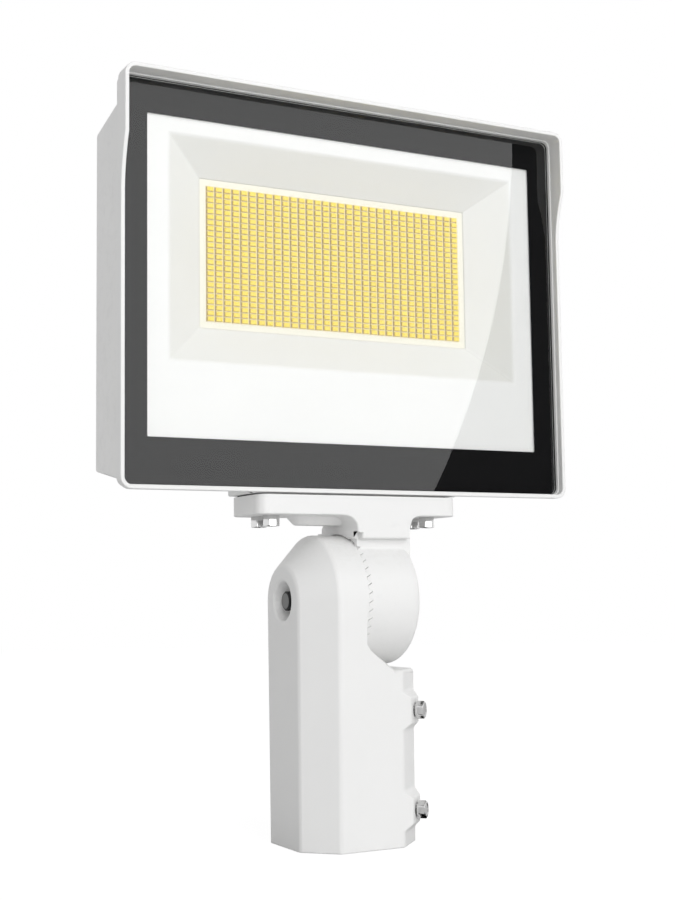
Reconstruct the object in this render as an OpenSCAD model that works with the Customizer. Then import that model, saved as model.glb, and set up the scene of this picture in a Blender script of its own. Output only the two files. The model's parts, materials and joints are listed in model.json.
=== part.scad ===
// LED area flood light on a serrated knuckle and a tenon slipfitter.
// Origin: centre of the tenon bore's open end. X runs along the head, the lens faces -Y, Z is up.

/* [Slipfitter] */
// Outside diameter of the pole tenon that the fitter slips over
tenon_d = 60.3; // [56:0.1:61]
// Radial play between the tenon and the bore
tenon_play = 0.55; // [0.3:0.05:0.9]
// Depth of the tenon bore
bore_depth = 86; // [70:1:87]
// Width of the fitter body across its left and right faces
fitter_w = 74; // [73:0.5:78]
// Depth of the fitter body from its front face to its back face, at the open end
fitter_d = 72; // [71:0.5:73]
// Size of the chamfer on each of the fitter's upright corners
fitter_chamfer = 17; // [14:0.5:18]
// Height of the shoulder beside the knuckle
shoulder_h = 98; // [92:0.5:99]
// Height of the two clamp screws above the open end
clamp_low_z = 19.6; // [14:0.2:26]
clamp_high_z = 75; // [60:0.5:78]
// Distance that the clamp bosses stand out from the chamfer
clamp_boss_out = 4.1; // [2:0.1:5]
// Shank diameter of a clamp screw
clamp_screw_d = 6; // [5:0.5:7]
// Width across the flats of a clamp screw's head
clamp_head_af = 9; // [8:0.5:11]
// Height of a clamp screw's head
clamp_head_h = 4.6; // [4:0.1:6]
// Gap under a clamp screw's head, which is its travel onto the tenon
clamp_reach = 1.2; // [0.8:0.1:3]

/* [Knuckle] */
// Height of the tilt axis above the open end
pivot_h = 137.3; // [136:0.1:142]
// Diameter of the knuckle's dome and of the bracket's disc
knuckle_d = 74.8; // [73.6:0.2:76]
// Number of serrations round the knuckle
tooth_count = 48; // [24:24:72]
// Height of a serration
tooth_h = 2.4; // [1.6:0.1:2.6]
// Width of a serration at its foot
tooth_w = 2.9; // [1.6:0.1:3.1]
// Room in each slot over its serration, on the side that the head's weight opens
tooth_slack = 0.3; // [0:0.05:0.5]
// Inner radius of the serrated ring
ring_in_r = 27.5; // [24:0.5:29]
// Play between the two serrated rings
ring_play = 0.1; // [0.1:0.05:0.4]
// Width of the bracket's disc, from the seam to its plain side
disc_w = 34; // [30:0.5:36]
// Radius of the disc's plain outer edge
disc_edge_r = 6; // [3:0.5:8]
// Shank diameter of the pivot bolt
pivot_bolt_d = 6; // [5:0.5:8]
// Width across the flats of the pivot bolt's head
pivot_head_af = 10; // [9:0.5:11]
// Diameter of the lock washer under the pivot bolt's head
pivot_washer_d = 13; // [12:0.5:14]
// Height of the pivot bolt's head
pivot_head_h = 5; // [4:0.5:5.5]
// Diameter of the recess round the pivot bolt at the face
pivot_recess_d = 23; // [20:0.5:26]

/* [Bracket] */
// Width of the bracket's top plate
plate_w = 128; // [122:0.5:129]
// Depth of the top plate
plate_d = 40; // [38:0.5:42]
// Thickness of the top plate
plate_t = 11; // [9:0.1:12]
// Corner radius of the top plate
plate_r = 6.6; // [3:0.2:8]
// Spacing of the head bolts along the head
bolt_x = 101.4; // [96:0.2:104]
// Spacing of the head bolts from front to back
bolt_y = 16.2; // [14:0.2:16.6]
// Shank diameter of a head bolt
bolt_d = 6; // [5:0.5:6.5]
// Width across the flats of a head bolt
bolt_af = 8.4; // [8:0.2:9]

/* [Head] */
// Width of the head over its visor
head_w = 287; // [284:0.5:300]
// Height of the head over its visor
head_h = 228.6; // [227:0.2:240]
// Height of the head's lower edge above the tilt axis
head_rise = 60; // [59:0.1:66]
// Distance of the low rim in front of the tilt axis
rim_front = 28.3; // [27:0.1:30]
// Reach of the visor beyond the low rim
visor_reach = 6.7; // [3:0.1:12]
// Length of the visor's full-depth sides, from its top
visor_side = 38; // [30:1:60]
// Thickness of the rim and visor
rim_t = 2.3; // [1.8:0.1:2.6]
// Outer corner radius of the rim
rim_r = 6.5; // [5:0.5:9]
// Depth of the back shell behind the rim's flange
shell_d = 36.4; // [36:0.1:46]
// Wall thickness of the back shell
wall = 3.2; // [2.6:0.1:3.4]
// Spacing of the cooling fins
fin_pitch = 8; // [7:0.5:12]
// Thickness of a cooling fin
fin_t = 2.4; // [1.8:0.1:3]

/* [Lens and reflector] */
// Thickness of the tempered lens
lens_t = 3; // [2.8:0.1:3.3]
// Depth of the lens face behind the low rim
lens_set = 5.7; // [5.5:0.1:6]
// Width of the black border at each side of the window
border_side = 17.5; // [16:0.5:21]
// Height of the black border below the window, from the head's lower edge
border_low = 28.7; // [26:0.1:30]
// Height of the black border above the window, from the head's upper edge
border_top = 22; // [21.8:0.1:26]
// Width of the flat white band at each side of the recess
band_side = 12.6; // [10:0.1:16]
// Height of the flat white band below the recess
band_low = 42; // [41:0.1:46]
// Height of the flat white band above the recess
band_top = 8.6; // [7:0.1:10]
// Width of the slanted wall at each side of the recess
slope_side = 25.2; // [22:0.1:26]
// Height of the slanted wall below the light board
slope_low = 22.7; // [20:0.1:24]
// Height of the slanted wall above the light board
slope_top = 18.9; // [17:0.1:20]
// Distance of the light board behind the lens face
board_set = 20.8; // [20:0.1:21.4]

/* [Light board] */
// Number of light chips along the board
chip_cols = 32; // [16:1:32]
// Number of light chips up the board
chip_rows = 24; // [12:1:24]
// Distance from the edge of the recess's floor to the first chip's field
chip_edge = 3.8; // [3.4:0.1:5]
// Width of a chip
chip_w = 4; // [2.5:0.1:4.4]
// Height of a chip
chip_h = 2.6; // [1.8:0.1:2.8]
// Thickness of a chip
chip_t = 1.2; // [0.6:0.1:1.6]

/* [Hidden] */
$fn = 64;

e = 0.01;
bite = 1;

// Knuckle and fitter
bore_r = tenon_d / 2 + tenon_play;
half_w = fitter_w / 2;
half_d = fitter_d / 2;
knuckle_r = knuckle_d / 2;
knuckle_side = half_w + 0.3;
knuckle_chamfer = fitter_chamfer + 0.5;
seam_back = 2.8;
tooth_foot_x = -tooth_h / 2;
bracket_face_x = tooth_foot_x + ring_play;
disc_clear = 1;
pivot_boss_r = 12;
bowl_left_x = -half_w + fitter_chamfer - 4;
bowl_r = ring_in_r - 0.5;
wire_way_r = 9;
recess_floor_x = -knuckle_side + 9.1;
washer_t = 2;
pivot_hole_play = 0.2;
thread_play = 0.05;
pivot_tip_x = disc_w - 10;
disc_wall = 4;

// Clamp bosses on the front right chamfer
chamfer_dist = (half_w + half_d - fitter_chamfer) / sqrt(2);
boss_dist = chamfer_dist + clamp_boss_out;
boss_face_h = 14.6;
boss_slope = 3.6;
clamp_tip_r = bore_r + 0.05;

// Bracket
plate_front_y = -rim_front;
plate_back_y = plate_front_y + plate_d;
head_z = pivot_h + head_rise;
pad_z = head_z - 0.3;
gasket_t = 0.8;
plate_top_z = pad_z - gasket_t;
plate_low_z = plate_top_z - plate_t;
arm_left_x = -2.6;
arm_w = disc_w - 2.5;
arm_front_y = -23.6;
arm_back_y = 22;
arm_step_z = pivot_h + 34.7;
overhang_z = pivot_h + knuckle_r + 0.7;
arm_wall = 4;
raceway_x = -25.8;
raceway_y = -5;
raceway_r = 10;
raceway_low_r = 5.5;
raceway_drop = 5;
raceway_half = 4.5;
entry_x = -17;
entry_y = -6;
entry_r = 9;
bolt_mid_y = -6.9;
bolt_washer_t = 1.6;
bolt_washer_r = bolt_af / 2 - 0.2;
bolt_head_h = 6.2;
bolt_shank_l = 18;
bolt_hole_play = 0.3;

// Head, front to back
visor_y = -rim_front - visor_reach;
lip_back_y = -rim_front + 5.3;
lip_step = 1.5;
pocket_t = rim_t + 0.5;
pocket_low_z = head_z + rim_t + 0.1;
lens_y = -rim_front + lens_set;
border_t = 0.2;
seal_t = 1;
border_y = lens_y + lens_t;
seal_y = border_y + border_t;
ledge_y = seal_y + seal_t;
flange_back_y = ledge_y + 2;
shell_back_y = flange_back_y + shell_d;
top_z = head_z + head_h;
shell_low_front_z = head_z + 5.9;
shell_low_back_z = head_z + 12.5;
shell_top_front_z = top_z - 18.1;
shell_top_back_z = top_z - 27.2;
back_edge_r = 4;
shell_half = head_w / 2 - lip_step;
lens_half = head_w / 2 - pocket_t - 0.3;
lens_low_z = pocket_low_z + 0.3;
lens_top_z = top_z - pocket_t - 0.3;
bay_top_z = head_z + 66.7;

// Lens window and reflector
window_half = head_w / 2 - border_side;
window_low_z = head_z + border_low;
window_top_z = top_z - border_top;
reflector_y = seal_y + 0.65;
reflector_t = 1.2;
sheet_half = lens_half - 4.2;
sheet_low_z = head_z + 10.2;
sheet_top_z = top_z - 20.9;
mouth_half = window_half - band_side;
mouth_low_z = window_low_z + band_low;
mouth_top_z = window_top_z - band_top;
floor_half = mouth_half - slope_side;
floor_low_z = mouth_low_z + slope_low;
floor_top_z = mouth_top_z - slope_top;
floor_mid_z = (floor_low_z + floor_top_z) / 2;
board_y = lens_y + board_set;
board_t = 1.6;
heat_pad_t = 0.3;
spreader_y = board_y + board_t + heat_pad_t;
spreader_t = 4.5;
board_half = floor_half + 14;
board_half_h = (floor_top_z - floor_low_z) / 2 + 7;
board_screw_x = board_half - 4;
chip_dx = 2 * (floor_half - chip_edge) / chip_cols;
chip_dz = (floor_top_z - floor_low_z - 2 * chip_edge) / chip_rows;
post_x = sheet_half - 4.5;
post_zs = [sheet_low_z + 8, floor_mid_z - 20, sheet_top_z - 8];
shell_inner = shell_half - wall;

// Driver bay
bay_back_y = shell_back_y - wall;
driver_w = 2 * (shell_inner - 53.8);
driver_h = 40;
driver_d = 28;
driver_skin = 1.2;
driver_z = head_z + 20.7;
driver_pad_t = 0.5;
driver_board_lift = 4.4;
driver_board_t = 1.6;
driver_back_y = bay_back_y - driver_pad_t;
driver_front_y = driver_back_y - driver_d;
ear_w = 11;
small_screw_r = 1.5;
small_head_r = 2.6;
vent_x = shell_inner - 23.8;
vent_z = driver_z + 18;
ground_x = -driver_w / 2 - 16;
ground_z = driver_z + 2;
lead_r = 1.1;
lead_gap = 2.5;
light_lead_r = 0.9;
light_lead_side = 1.5;
lead_low_z = head_z + 16.4;
block_pole_x = -shell_inner + 18.8;
block_pole_gap = 6;
block_z = driver_z + 6;
block_h = 11;
block_d = 12;
block_y = bay_back_y - block_d / 2;
surge_z = driver_z + 25;
driver_port_y = 2;
driver_port_z = driver_z + 22;
connector_x = board_half - 41;
connector_z = floor_mid_z - board_half_h - 3;
connector_d = 2.6;

// Points along an arc, for outlines with round corners
function arc(cx, cy, r, a0, a1, n = 6) =
    [for (i = [0:n]) let (a = a0 + (a1 - a0) * i / n) [cx + r * cos(a), cy + r * sin(a)]];

// Outline of a rectangle with round corners
function round_rect(x0, x1, y0, y1, r, n = 6) = concat(
    arc(x1 - r, y1 - r, r, 0, 90, n), arc(x0 + r, y1 - r, r, 90, 180, n),
    arc(x0 + r, y0 + r, r, 180, 270, n), arc(x1 - r, y0 + r, r, 270, 360, n));

// Points along a curve that leaves a towards b and arrives at c
function bend(a, b, c, n = 6) =
    [for (i = [0:n]) let (t = i / n) (1 - t) * (1 - t) * a + 2 * t * (1 - t) * b + t * t * c];

// An XZ outline, drawn as (x, z), from y0 back to y1
module along_y(y0, y1) translate([0, y1, 0]) rotate([90, 0, 0]) linear_extrude(y1 - y0) children();

// A YZ outline, drawn as (y, z), from x0 to x1
module along_x(x0, x1) translate([x0, 0, 0]) rotate([90, 0, 90]) linear_extrude(x1 - x0) children();

// A box from its low corner to its high corner
module box(low, high) translate(low) cube(high - low);

// A round bar along X, Y or Z
module bar_x(x0, x1, r, y = 0, z = 0) translate([x0, y, z]) rotate([0, 90, 0]) cylinder(h = x1 - x0, r = r);
module bar_y(y0, y1, r, x = 0, z = 0) translate([x, y1, z]) rotate([90, 0, 0]) cylinder(h = y1 - y0, r = r);
module bar_z(z0, z1, r, x = 0, y = 0) translate([x, y, z0]) cylinder(h = z1 - z0, r = r);

// A solid turned about the tilt axis from a (radius, x) outline
module turned(points) translate([0, 0, pivot_h]) rotate([0, 90, 0]) rotate_extrude() polygon(points);

// A hexagonal bar standing on z = 0, flats facing Y
module hex_bar(af, h) cylinder(h = h, r = af / sqrt(3), $fn = 6);

// A wire as a swept tube through its route points; its first run is upright or along X
module wire(route, r) {
    sides = 8;
    last = len(route) - 1;
    function unit(v) = v / norm(v);
    function heading(i) = unit(
        (i == 0 ? [0, 0, 0] : unit(route[i] - route[i - 1]))
        + (i >= last ? [0, 0, 0] : unit(route[i + 1] - route[i])));
    function across(u, d) = unit(u - (u * d) * d);
    sides_of = [for (i = 0, u = [0, 1, 0]; i <= last;
        i = i + 1, u = across(u, heading(min(i, last)))) u];
    points = [for (i = [0:last]) let (u = sides_of[i], v = cross(heading(i), u))
        for (k = [0:sides - 1])
            route[i] + r * (cos(k * 360 / sides) * u + sin(k * 360 / sides) * v)];
    skin = [for (i = [0:last - 1]) for (k = [0:sides - 1]) for (half = [0, 1])
        let (a = i * sides, b = a + sides, n = (k + 1) % sides)
            half == 0 ? [a + k, b + n, a + n] : [a + k, b + k, b + n]];
    near_end = [for (k = [0:sides - 1]) k];
    far_end = [for (k = [1:sides]) last * sides + sides - k];
    polyhedron(points, concat(skin, [near_end, far_end]));
}

// The ring of serration wedges, pointing at +X, moved by shift along X and made wider by slack on one side
module serrations(shift, r_out, slack = 0) {
    wedge = concat([[tooth_foot_x - bite, -tooth_w / 2 - slack], [tooth_foot_x, -tooth_w / 2 - slack]],
        slack > 0 ? [[-tooth_foot_x, -slack]] : [],
        [[-tooth_foot_x, 0], [tooth_foot_x, tooth_w / 2], [tooth_foot_x - bite, tooth_w / 2]]);
    for (i = [0:tooth_count - 1])
        translate([shift, 0, pivot_h]) rotate([i * 360 / tooth_count, 0, 0])
            translate([0, 0, ring_in_r - bite]) linear_extrude(r_out - ring_in_r + bite) polygon(wedge);
}

// Moves a screw drawn along +Z, pointing outwards, onto a clamp boss
module on_clamp(z) translate([0, 0, z]) rotate([90, 0, 45]) children();

// Corners of an eight-sided outline, seen from above
function eight_sides(w, d, c, z) = [[w, -d + c, z], [w, d - c, z], [w - c, d, z], [-w + c, d, z],
    [-w, d - c, z], [-w, -d + c, z], [-w + c, -d, z], [w - c, -d, z]];

// Drafted prism of the fitter, whose corner chamfers are cut less deep by spare
module fitter_prism(spare) {
    points = concat(eight_sides(half_w, half_d, fitter_chamfer - spare, 0),
        eight_sides(knuckle_side, knuckle_r, knuckle_chamfer - spare, pivot_h));
    polyhedron(points, concat([[for (i = [0:7]) i], [for (i = [0:7]) 15 - i]],
        [for (i = [0:7]) let (n = (i + 1) % 8) [i, i + 8, n + 8, n]]));
}

// One clamp boss: the corner that the chamfer leaves, closed off by a flat face
module clamp_boss(z) {
    base_h = boss_face_h + 2 * boss_slope;
    intersection() {
        fitter_prism(fitter_chamfer - 2);
        box([half_w - fitter_chamfer - bite, -knuckle_r - bite, z - base_h / 2],
            [half_w + bite, -half_d + fitter_chamfer + bite, z + base_h / 2]);
        translate([0, 0, z]) rotate([0, 0, -45]) translate([0, half_w, 0]) rotate([90, 0, 0])
            linear_extrude(2 * half_w) polygon([
                [chamfer_dist - fitter_chamfer, -base_h / 2], [chamfer_dist, -base_h / 2],
                [boss_dist, -boss_face_h / 2], [boss_dist, boss_face_h / 2],
                [chamfer_dist, base_h / 2], [chamfer_dist - fitter_chamfer, base_h / 2]]);
    }
}

module fitter_blank() {
    // Side view of the prism: full height on the left, shoulder and slope under the disc
    slope_foot_x = 15.3;
    slope_top_z = shoulder_h + 14.6;
    shoulder_r = 3;
    difference() {
        intersection() {
            fitter_prism(0);
            along_y(-knuckle_r - bite, knuckle_r + bite) polygon(concat(
                [[-half_w - bite, 0], [knuckle_side, 0]],
                arc(knuckle_side - shoulder_r, shoulder_h - shoulder_r, shoulder_r, 0, 90),
                [[slope_foot_x, shoulder_h], [-0.6, slope_top_z - 3.3], [-seam_back, slope_top_z],
                [-seam_back, pivot_h], [-half_w - bite, pivot_h]]));
        }
        bar_x(-seam_back, half_w + bite, knuckle_r + disc_clear, z = pivot_h);
    }
    intersection() {
        turned([[0, -knuckle_side], [knuckle_r - knuckle_chamfer, -knuckle_side],
            [knuckle_r, -knuckle_side + knuckle_chamfer], [knuckle_r, -seam_back], [0, -seam_back]]);
        box([-knuckle_side - bite, -half_w - bite, pivot_h - 0.2], [bite, half_w + bite, 2 * pivot_h]);
    }
    turned([[ring_in_r, -seam_back - bite], [knuckle_r, -seam_back - bite],
        [knuckle_r, tooth_foot_x], [ring_in_r, tooth_foot_x]]);
    clamp_boss(clamp_low_z);
    clamp_boss(clamp_high_z);
}

module slipfitter_body() color("whitesmoke") {
    difference() {
        fitter_blank();
        bar_z(-bite, bore_depth, bore_r);
        bar_z(bore_depth - bite, pivot_h - ring_in_r + 8, wire_way_r, x = bowl_left_x + wire_way_r + 1);
        turned([[pivot_boss_r, bowl_left_x], [bowl_r, bowl_left_x],
            [bowl_r, 0], [pivot_boss_r, 0]]);
        bar_x(-half_w - bite, bite, pivot_bolt_d / 2 + pivot_hole_play, z = pivot_h);
        turned([[0, -knuckle_side - e], [pivot_recess_d / 2, -knuckle_side - e],
            [pivot_washer_d / 2 + 1, recess_floor_x], [0, recess_floor_x]]);
        for (z = [clamp_low_z, clamp_high_z])
            on_clamp(z) translate([0, 0, bore_r - 3])
                cylinder(h = bore_r, r = clamp_screw_d / 2 + thread_play);
    }
    intersection() {
        serrations(0, knuckle_r + bite);
        turned([[ring_in_r, tooth_foot_x - bite], [knuckle_r, tooth_foot_x - bite],
            [knuckle_r, tooth_h], [ring_in_r, tooth_h]]);
    }
}

// A clamp screw at its height: shank, plain tip and hexagonal head
module clamp_screw(z) color("silver") on_clamp(z) {
    head_dist = boss_dist + clamp_reach;
    translate([0, 0, clamp_tip_r]) cylinder(h = head_dist - clamp_tip_r + e, r = clamp_screw_d / 2);
    translate([0, 0, head_dist]) rotate([0, 0, 30]) intersection() {
        hex_bar(clamp_head_af, clamp_head_h);
        cylinder(h = clamp_head_h, r1 = clamp_head_af, r2 = clamp_head_af / 2 + 0.2);
    }
}
module clamp_screw_upper() clamp_screw(clamp_high_z);
module clamp_screw_lower() clamp_screw(clamp_low_z);

module pivot_bolt() color("dimgray") {
    head_x = recess_floor_x - washer_t - pivot_head_h;
    bar_x(head_x + bite, pivot_tip_x, pivot_bolt_d / 2, z = pivot_h);
    translate([head_x, 0, pivot_h]) rotate([0, 90, 0]) intersection() {
        hex_bar(pivot_head_af, pivot_head_h);
        cylinder(h = pivot_head_h, r1 = pivot_head_af / 2 - 0.3,
            r2 = pivot_head_af / 2 + 1.7 * pivot_head_h);
    }
}

module pivot_lock_washer() color("silver") difference() {
    bar_x(recess_floor_x - washer_t, recess_floor_x, pivot_washer_d / 2, z = pivot_h);
    bar_x(recess_floor_x - washer_t - bite, recess_floor_x + bite, pivot_bolt_d / 2 + 0.1, z = pivot_h);
    box([recess_floor_x - washer_t - bite, -0.5, pivot_h], [recess_floor_x + bite, 0.5, pivot_h + half_d]);
}

// Solid outside of the bracket: plate, arm, disc and wire way
module bracket_blank() {
    translate([0, 0, plate_low_z]) linear_extrude(plate_t)
        polygon(round_rect(-plate_w / 2, plate_w / 2, plate_front_y, plate_back_y, plate_r));
    turned(concat([[0, bracket_face_x], [knuckle_r, bracket_face_x]],
        [for (p = arc(knuckle_r - disc_edge_r, disc_w - disc_edge_r, disc_edge_r, 0, 90)) p],
        [[0, disc_w]]));
    // Lower arm, between the step and the disc
    along_x(bracket_face_x, disc_w) polygon([[arm_front_y, pivot_h], [arm_back_y, pivot_h],
        [arm_back_y, overhang_z], [arm_front_y, overhang_z]]);
    // Upper arm, flush with the front of the plate
    along_x(0, arm_w) polygon([[plate_front_y, arm_step_z], [arm_back_y, arm_step_z],
        [arm_back_y, plate_low_z - 5], [plate_back_y, plate_low_z + 4], [plate_front_y, plate_low_z + 4]]);
    // Left skin of the upper arm, cut round to clear the fitter's dome and short of its slope
    difference() {
        box([arm_left_x, arm_front_y, arm_step_z], [bite, arm_back_y, overhang_z + bite]);
        bar_x(arm_left_x - bite, bracket_face_x, overhang_z - pivot_h, z = pivot_h);
    }
    // Overhang and fillets beside the arm
    along_y(plate_front_y, plate_back_y) polygon(concat(
        [[0, overhang_z], [arm_left_x, overhang_z]],
        bend([arm_left_x, plate_low_z - 9], [arm_left_x, plate_low_z], [arm_left_x - 10.5, plate_low_z]),
        [[arm_left_x - 10.5, plate_low_z + 1], [arm_w + 8.5, plate_low_z + 1]],
        bend([arm_w + 8.5, plate_low_z], [arm_w, plate_low_z], [arm_w, plate_low_z - 8]),
        [[arm_w - 2, overhang_z]]));
    // Wire way with a round end and drafted sides
    translate([raceway_x, raceway_y, plate_low_z - raceway_drop]) {
        cylinder(h = raceway_drop, r1 = raceway_low_r, r2 = raceway_r);
        cylinder(h = raceway_drop + bite, r = raceway_low_r);
    }
    along_x(raceway_x, bite) translate([raceway_y, plate_low_z]) polygon([
        [-raceway_r, bite], [-raceway_r, 0], [-raceway_low_r, -raceway_drop],
        [raceway_low_r, -raceway_drop], [raceway_r, 0], [raceway_r, bite]]);
}

module upper_bracket() color("whitesmoke") difference() {
    bracket_blank();
    serrations(ring_play, knuckle_r + bite, tooth_slack);
    // Bowl of the disc, open at the seam, with the tapped boss left standing
    turned([[pivot_boss_r, bracket_face_x - bite], [bowl_r, bracket_face_x - bite],
        [bowl_r, disc_w - disc_wall - 4], [bowl_r - 4, disc_w - disc_wall],
        [pivot_boss_r, disc_w - disc_wall]]);
    bar_x(bracket_face_x - bite, disc_w - 8, pivot_bolt_d / 2 + thread_play, z = pivot_h);
    // Wire way up the arm, along the raceway and up through the plate
    box([arm_wall, arm_front_y + arm_wall + 5, pivot_h + pivot_boss_r + 8],
        [arm_w - arm_wall, plate_back_y - arm_wall, plate_low_z + 3]);
    box([raceway_x, raceway_y - raceway_half, plate_low_z - raceway_drop + 2],
        [arm_wall + bite, raceway_y + raceway_half, plate_low_z + 3]);
    bar_z(plate_low_z, plate_top_z + bite, entry_r - 1, x = entry_x, y = entry_y);
    at_head_bolts() {
        bar_z(plate_low_z - bite, plate_top_z + bite, bolt_d / 2 + bolt_hole_play);
        bar_z(plate_low_z - bite, plate_low_z + bolt_washer_t, bolt_washer_r + bolt_hole_play);
    }
}

// Repeats its children at the four head bolts
module at_head_bolts() for (x = [-1, 1]) for (y = [-1, 1])
    translate([x * bolt_x / 2, bolt_mid_y + y * bolt_y / 2, 0]) children();

module bracket_gasket() color("dimgray") difference() {
    translate([0, 0, plate_top_z]) linear_extrude(gasket_t)
        polygon(round_rect(-plate_w / 2 + 2, plate_w / 2 - 2, lip_back_y + 1, plate_back_y - 2, 5));
    bar_z(plate_top_z - bite, pad_z + bite, entry_r, x = entry_x, y = entry_y);
    at_head_bolts() bar_z(plate_top_z - bite, pad_z + bite, bolt_d / 2 + bolt_hole_play);
}

module head_bolts() color("silver") at_head_bolts() {
    bar_z(plate_low_z - bite, plate_low_z + bolt_shank_l, bolt_d / 2);
    translate([0, 0, plate_low_z - bolt_head_h]) rotate([0, 0, -13]) intersection() {
        hex_bar(bolt_af, bolt_head_h);
        cylinder(h = bolt_head_h, r1 = bolt_af / 2 + 0.2, r2 = bolt_af);
    }
}

// The lock washers lie in the plate's counterbores, so that the heads reach up to the plate
module head_lock_washers() color("silver") at_head_bolts() difference() {
    bar_z(plate_low_z, plate_low_z + bolt_washer_t, bolt_washer_r);
    bar_z(plate_low_z - bite, plate_low_z + 2 * bolt_washer_t, bolt_d / 2 + 0.1);
    box([-0.4, 0, plate_low_z - bite], [0.4, bolt_af, plate_low_z + 2 * bolt_washer_t]);
}

// Side view of the shell behind the rim: flange, sloping floor, back and sloping top
function shell_profile() = concat(
    [[lip_back_y - bite, head_z + lip_step], [flange_back_y, head_z + lip_step],
    [flange_back_y, shell_low_front_z]],
    bend([shell_back_y - 7, shell_low_back_z - 1], [shell_back_y, shell_low_back_z + 1],
        [shell_back_y, shell_low_back_z + 7]),
    bend([shell_back_y, shell_top_back_z - 9], [shell_back_y, shell_top_back_z],
        [shell_back_y - 6, shell_top_back_z + 1.6]),
    [[flange_back_y, shell_top_front_z], [flange_back_y, top_z - lip_step],
    [lip_back_y - bite, top_z - lip_step]]);

// Cavity seen from the side: lamp room above, driver bay below
function cavity_profile() = [
    [ledge_y - bite, head_z + 9.2], [flange_back_y, shell_low_front_z + wall],
    [bay_back_y, shell_low_back_z + wall], [bay_back_y, bay_top_z], [spreader_y, bay_top_z],
    [spreader_y, shell_top_front_z - 2 * wall - 1], [flange_back_y, shell_top_front_z - wall],
    [ledge_y, top_z - 20.4], [ledge_y - bite, top_z - 20.4]];

// Cut that lowers the rim below the visor
function visor_profile() = let (full_z = top_z - visor_side) concat(
    [[visor_y - bite, head_z - bite], [visor_y - bite, full_z]],
    bend([visor_y, full_z], [-rim_front - 0.4, full_z - 16], [-rim_front, full_z - 30]),
    [[-rim_front, head_z - bite]]);

// The outside of the casting before its cooling channels are cut
module housing_blank() {
    difference() {
        along_y(visor_y, lip_back_y)
            polygon(round_rect(-head_w / 2, head_w / 2, head_z, top_z, rim_r));
        along_x(-head_w, head_w) polygon(visor_profile());
        along_y(visor_y - bite, lip_back_y + e) polygon(round_rect(-head_w / 2 + rim_t,
            head_w / 2 - rim_t, head_z + rim_t, top_z - rim_t, rim_r - rim_t));
    }
    intersection() {
        along_x(-shell_half, shell_half) polygon(shell_profile());
        along_y(lip_back_y - bite, shell_back_y) polygon(round_rect(-shell_half, shell_half,
            head_z + lip_step, top_z - lip_step, rim_r - 1));
        linear_extrude(2 * top_z) polygon(concat(
            [[-shell_half, lip_back_y - bite], [shell_half, lip_back_y - bite]],
            arc(shell_half - back_edge_r, shell_back_y - back_edge_r, back_edge_r, 0, 90),
            arc(-shell_half + back_edge_r, shell_back_y - back_edge_r, back_edge_r, 90, 180)));
    }
    box([-plate_w / 2 - 1.5, lip_back_y - e, pad_z], [plate_w / 2 + 1.5, plate_back_y, shell_low_back_z + 1]);
}

module housing() color("whitesmoke") {
    fin_z = bay_top_z + wall;
    gaps = floor((2 * shell_inner + fin_t) / fin_pitch);
    gap_w = (2 * shell_inner + fin_t) / gaps - fin_t;
    difference() {
        housing_blank();
        along_y(visor_y - bite, ledge_y) polygon(round_rect(
            -head_w / 2 + pocket_t, head_w / 2 - pocket_t,
            pocket_low_z, top_z - pocket_t, rim_r - rim_t));
        along_x(-shell_inner, shell_inner) polygon(cavity_profile());
        for (i = [0:gaps - 1]) {
            x = -shell_inner + i * (gap_w + fin_t);
            box([x, spreader_y + spreader_t, fin_z], [x + gap_w, shell_back_y + bite, top_z]);
        }
        at_head_bolts() bar_z(pad_z - bite, pad_z + 8.2, bolt_d / 2 + thread_play);
        bar_z(pad_z - bite, driver_z, entry_r, x = entry_x, y = entry_y);
        bar_y(bay_back_y - bite, shell_back_y + bite, 6, x = vent_x, z = vent_z);
        for (x = [-1, 1]) bar_y(bay_back_y - bite, bay_back_y + 2.4, small_screw_r,
            x = x * (driver_w + ear_w) / 2, z = driver_z + driver_h / 2);
        bar_y(bay_back_y - bite, bay_back_y + 2.4, small_screw_r, x = ground_x, z = ground_z);
        for (x = [-1, 1]) for (k = [-1, 0, 1])
            bar_y(spreader_y - bite, spreader_y + 3.6, small_screw_r,
                x = x * board_screw_x, z = floor_mid_z + k * (board_half_h - 5));
    }
    // Posts that carry the reflector
    for (x = [-1, 1]) for (z = post_zs) difference() {
        back_y = z > bay_top_z ? spreader_y + e : bay_back_y + e;
        bar_y(reflector_y + reflector_t, back_y, 3.2, x = x * post_x, z = z);
        bar_y(reflector_y, reflector_y + 9, small_screw_r, x = x * post_x, z = z);
    }
}

module lens_glass() color([0.8, 0.9, 0.95, 0.35]) along_y(lens_y, border_y)
    polygon(round_rect(-lens_half, lens_half, lens_low_z, lens_top_z, rim_r - rim_t));

module lens_border() color("black") along_y(border_y, seal_y) difference() {
    polygon(round_rect(-lens_half + 0.3, lens_half - 0.3,
        lens_low_z + 0.1, lens_top_z - 0.4, rim_r - rim_t));
    polygon(round_rect(-window_half, window_half, window_low_z, window_top_z, 0.8));
}

module lens_gasket() color("white") along_y(seal_y, ledge_y) difference() {
    polygon(round_rect(-lens_half + 0.4, lens_half - 0.4,
        lens_low_z + 0.4, lens_top_z - 0.5, rim_r - rim_t));
    polygon(round_rect(-sheet_half - 0.6, sheet_half + 0.6,
        sheet_low_z - 0.6, sheet_top_z + 0.6, 2));
}

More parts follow.
